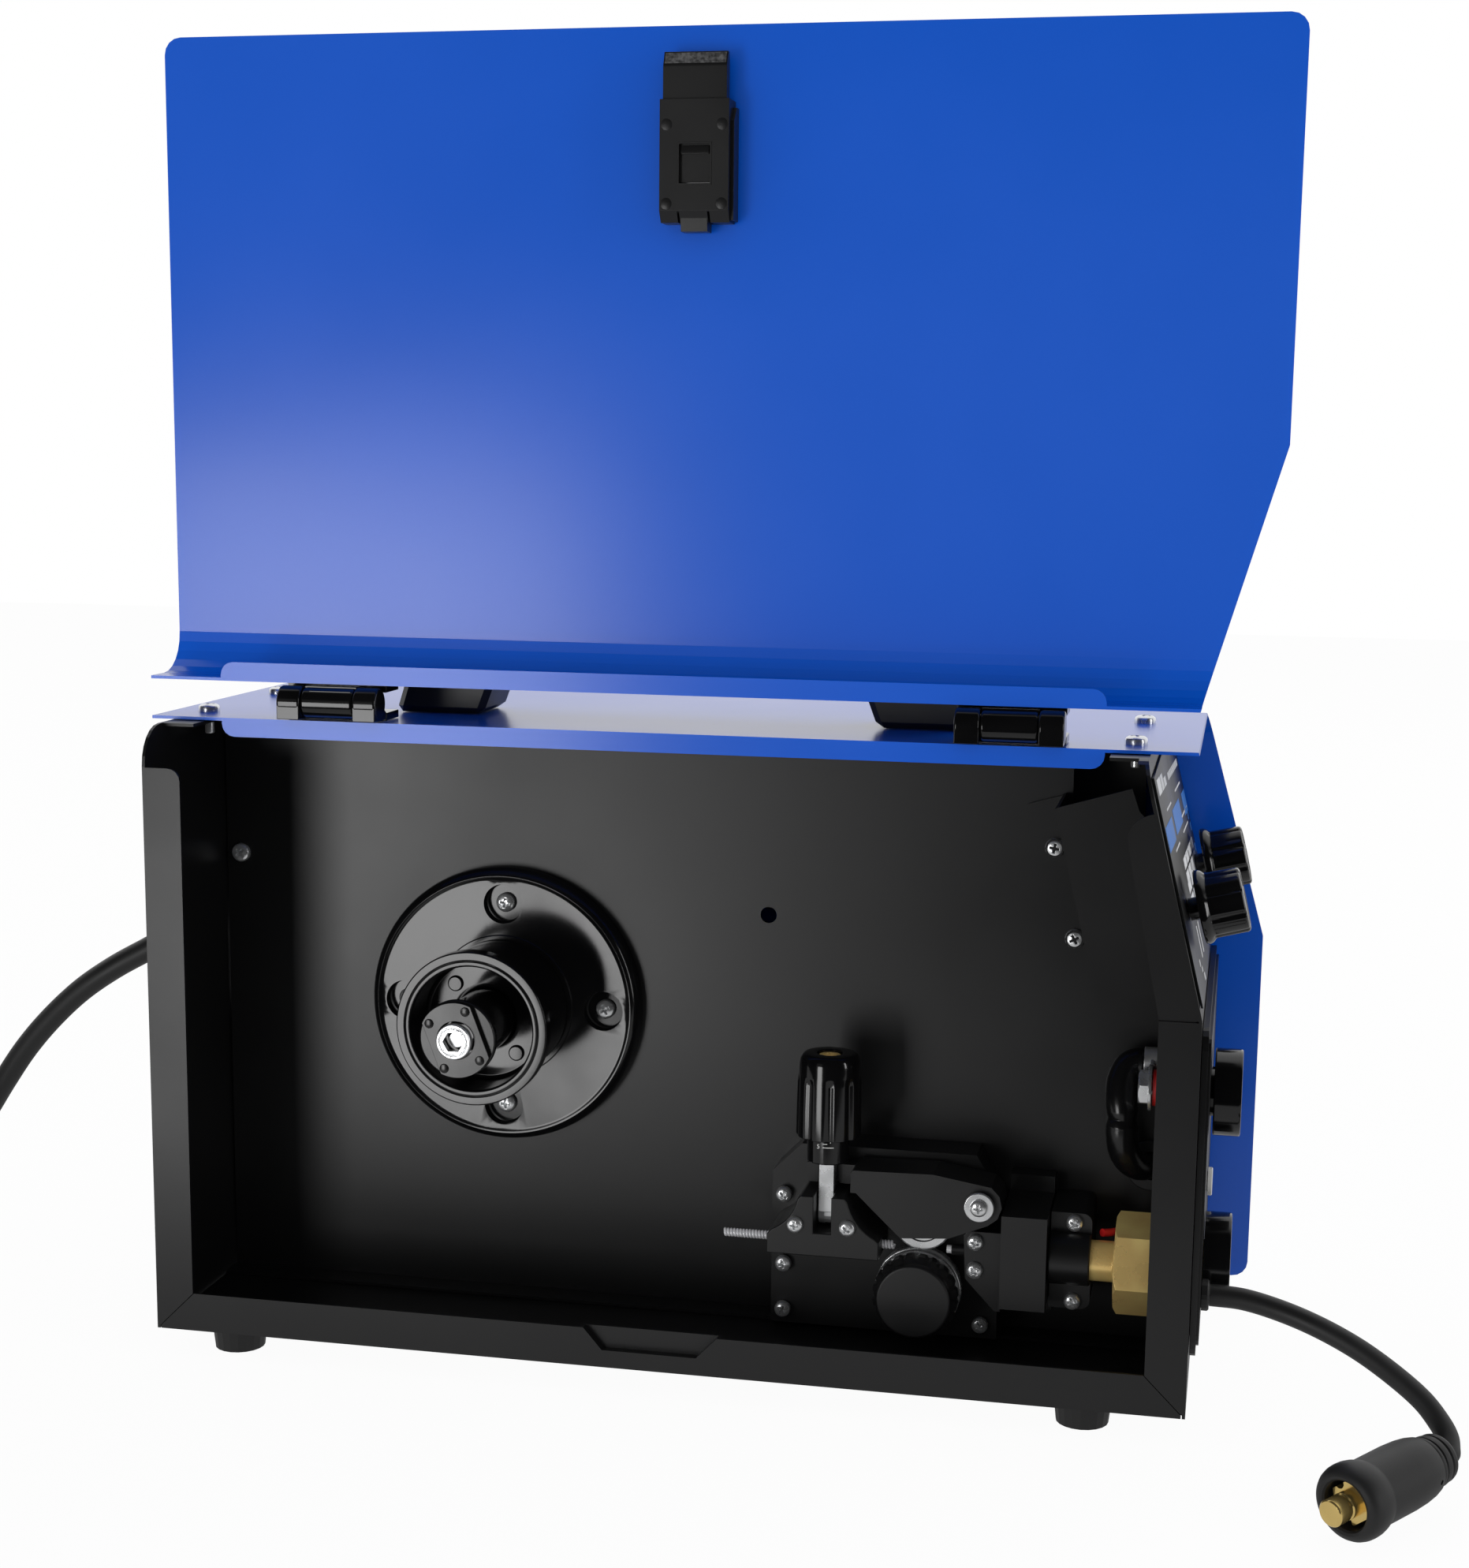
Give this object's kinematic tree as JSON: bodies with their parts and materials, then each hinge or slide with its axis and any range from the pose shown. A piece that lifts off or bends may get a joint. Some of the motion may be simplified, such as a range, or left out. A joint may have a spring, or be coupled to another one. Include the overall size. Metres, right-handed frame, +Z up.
{
  "type": "wire-feed welding machine",
  "caption": "Portable MIG welder with a folded steel case, carry handle, swing-up side door, spool hub, roller wire feeder, control knobs, polarity lead and mains lead.",
  "frame": {"origin": "on the ground under the middle of the case, between the gas nipple's tip and the cover's front nose, and between the open side and the far side cover", "axes": "+X from the rear panel to the front panel, +Y from the open door side to the far side cover, +Z up"},
  "size_m": [0.7704, 0.2555, 0.5092],
  "materials": {
    "blue_powder_coat": "gloss powder coat",
    "black_powder_coat": "satin powder coat",
    "gloss_black_plastic": "gloss",
    "matt_black_plastic": "matt moulded",
    "black_rubber": "matt",
    "brass": "machined satin",
    "bright_zinc": "bright zinc plate",
    "bare_aluminium": "bare",
    "red_fibre": "satin",
    "white_plastic": "satin"
  },
  "bodies": {
    "case": {"top_side_cover": "blue_powder_coat", "base_tray": "black_powder_coat", "rear_panel": "black_powder_coat", "front_panel": "black_powder_coat", "partition_wall": "black_powder_coat", "control_shield": "black_powder_coat", "hinge_leaf_fixed_rear": "gloss_black_plastic", "hinge_leaf_fixed_front": "gloss_black_plastic", "spool_base": "gloss_black_plastic", "torch_collar": "gloss_black_plastic", "cable_socket": "gloss_black_plastic", "carry_handle": "matt_black_plastic", "feeder_plate": "matt_black_plastic", "clamp_bracket": "matt_black_plastic", "outlet_block": "matt_black_plastic", "outlet_saddle": "matt_black_plastic", "front_fascia": "matt_black_plastic", "control_overlay": "matt_black_plastic", "fan_frame": "matt_black_plastic", "fan_guard": "matt_black_plastic", "switch_frame": "matt_black_plastic", "mains_gland": "matt_black_plastic", "foot_rear_near": "black_rubber", "foot_rear_far": "black_rubber", "foot_front_near": "black_rubber", "foot_front_far": "black_rubber", "inner_cable": "black_rubber", "lead_gland": "black_rubber", "polarity_cable": "black_rubber", "lead_plug": "black_rubber", "mains_cable": "black_rubber", "mains_coil": "black_rubber", "mains_plug": "black_rubber", "torch_connector": "brass", "gas_inlet": "brass", "lead_plug_contact": "brass", "inlet_liner": "bright_zinc", "socket_stud": "bright_zinc", "gear_motor": "bare_aluminium", "power_module": "bare_aluminium", "stud_washers": "red_fibre", "trigger_socket": "white_plastic"},
    "door": {"cover_door": "blue_powder_coat", "latch_housing": "gloss_black_plastic", "hinge_leaf_door_rear": "gloss_black_plastic", "hinge_leaf_door_front": "gloss_black_plastic"},
    "latch": {"latch_bolt": "gloss_black_plastic"},
    "spool_carrier": {"spool_sleeve": "gloss_black_plastic"},
    "catch": {"lock_plate": "matt_black_plastic"},
    "drive": {"drive_roller": "bright_zinc", "roller_cap": "matt_black_plastic"},
    "arm": {"pressure_arm": "matt_black_plastic"},
    "idler": {"pressure_roller": "bright_zinc"},
    "lever": {"tension_rod": "bright_zinc", "tension_sleeve": "gloss_black_plastic"},
    "pressure_knob": {"tension_knob": "gloss_black_plastic"},
    "knob_near": {"control_knob_near": "gloss_black_plastic"},
    "knob_far": {"control_knob_far": "gloss_black_plastic"},
    "rocker": {"switch_rocker": "gloss_black_plastic"},
    "fan": {"fan_rotor": "matt_black_plastic"}
  },
  "joints": [
    {"name": "door_swing", "type": "hinge", "parent": "case", "child": "door", "pos_m": [-0.00715, -0.0619, 0.2581], "axis": [-1, 0, 0], "range_deg": [-180, 0]},
    {"name": "latch_slide", "type": "slide", "parent": "door", "child": "latch", "axis": [0, 0, -1], "range_m": [0, 0.01], "stiffness_N_per_m": 120, "springref_m": -0.012},
    {"name": "spool_spin", "type": "hinge", "parent": "case", "child": "spool_carrier", "pos_m": [-0.07765, -0.045, 0.1338], "axis": [0, 1, 0], "continuous": true},
    {"name": "lock_plate_turn", "type": "hinge", "parent": "case", "child": "catch", "pos_m": [-0.07765, -0.082, 0.1338], "axis": [0, 1, 0], "range_deg": [0, 90]},
    {"name": "drive_spin", "type": "hinge", "parent": "case", "child": "drive", "pos_m": [0.09615, -0.047, 0.0374], "axis": [0, 1, 0], "continuous": true},
    {"name": "lever_swing", "type": "hinge", "parent": "case", "child": "lever", "pos_m": [0.06005, -0.047, 0.065], "axis": [1, 0, 0], "range_deg": [0, 75]},
    {"name": "arm_lift", "type": "hinge", "parent": "case", "child": "arm", "pos_m": [0.11985, -0.047, 0.0752], "axis": [0, 1, 0], "range_deg": [0, 13.5]},
    {"name": "idler_spin", "type": "hinge", "parent": "arm", "child": "idler", "pos_m": [0.09785, -0.047, 0.0663], "axis": [0, 1, 0], "continuous": true},
    {"name": "pressure_knob_turn", "type": "hinge", "parent": "lever", "child": "pressure_knob", "pos_m": [0.06005, -0.047, 0.111], "axis": [0, 0, 1], "range_deg": [-180, 180]},
    {"name": "knob_near_turn", "type": "hinge", "parent": "case", "child": "knob_near", "pos_m": [0.20119, -0.051, 0.1944], "axis": [0.9702, 0, 0.2423], "range_deg": [-150, 150]},
    {"name": "knob_far_turn", "type": "hinge", "parent": "case", "child": "knob_far", "pos_m": [0.20119, 0.051, 0.1944], "axis": [0.9702, 0, 0.2423], "range_deg": [-150, 150]},
    {"name": "rocker_tilt", "type": "hinge", "parent": "case", "child": "rocker", "pos_m": [-0.19865, 0.031, 0.206], "axis": [0, 1, 0], "range_deg": [0, 20]},
    {"name": "fan_spin", "type": "hinge", "parent": "case", "child": "fan", "pos_m": [-0.18815, 0.031, 0.079], "axis": [1, 0, 0], "continuous": true}
  ],
  "couplings": [
    {"joint": "idler_spin", "follows": "drive_spin", "ratio": -1.4224},
    {"joint": "arm_lift", "follows": "lever_swing", "ratio": 0.18}
  ]
}
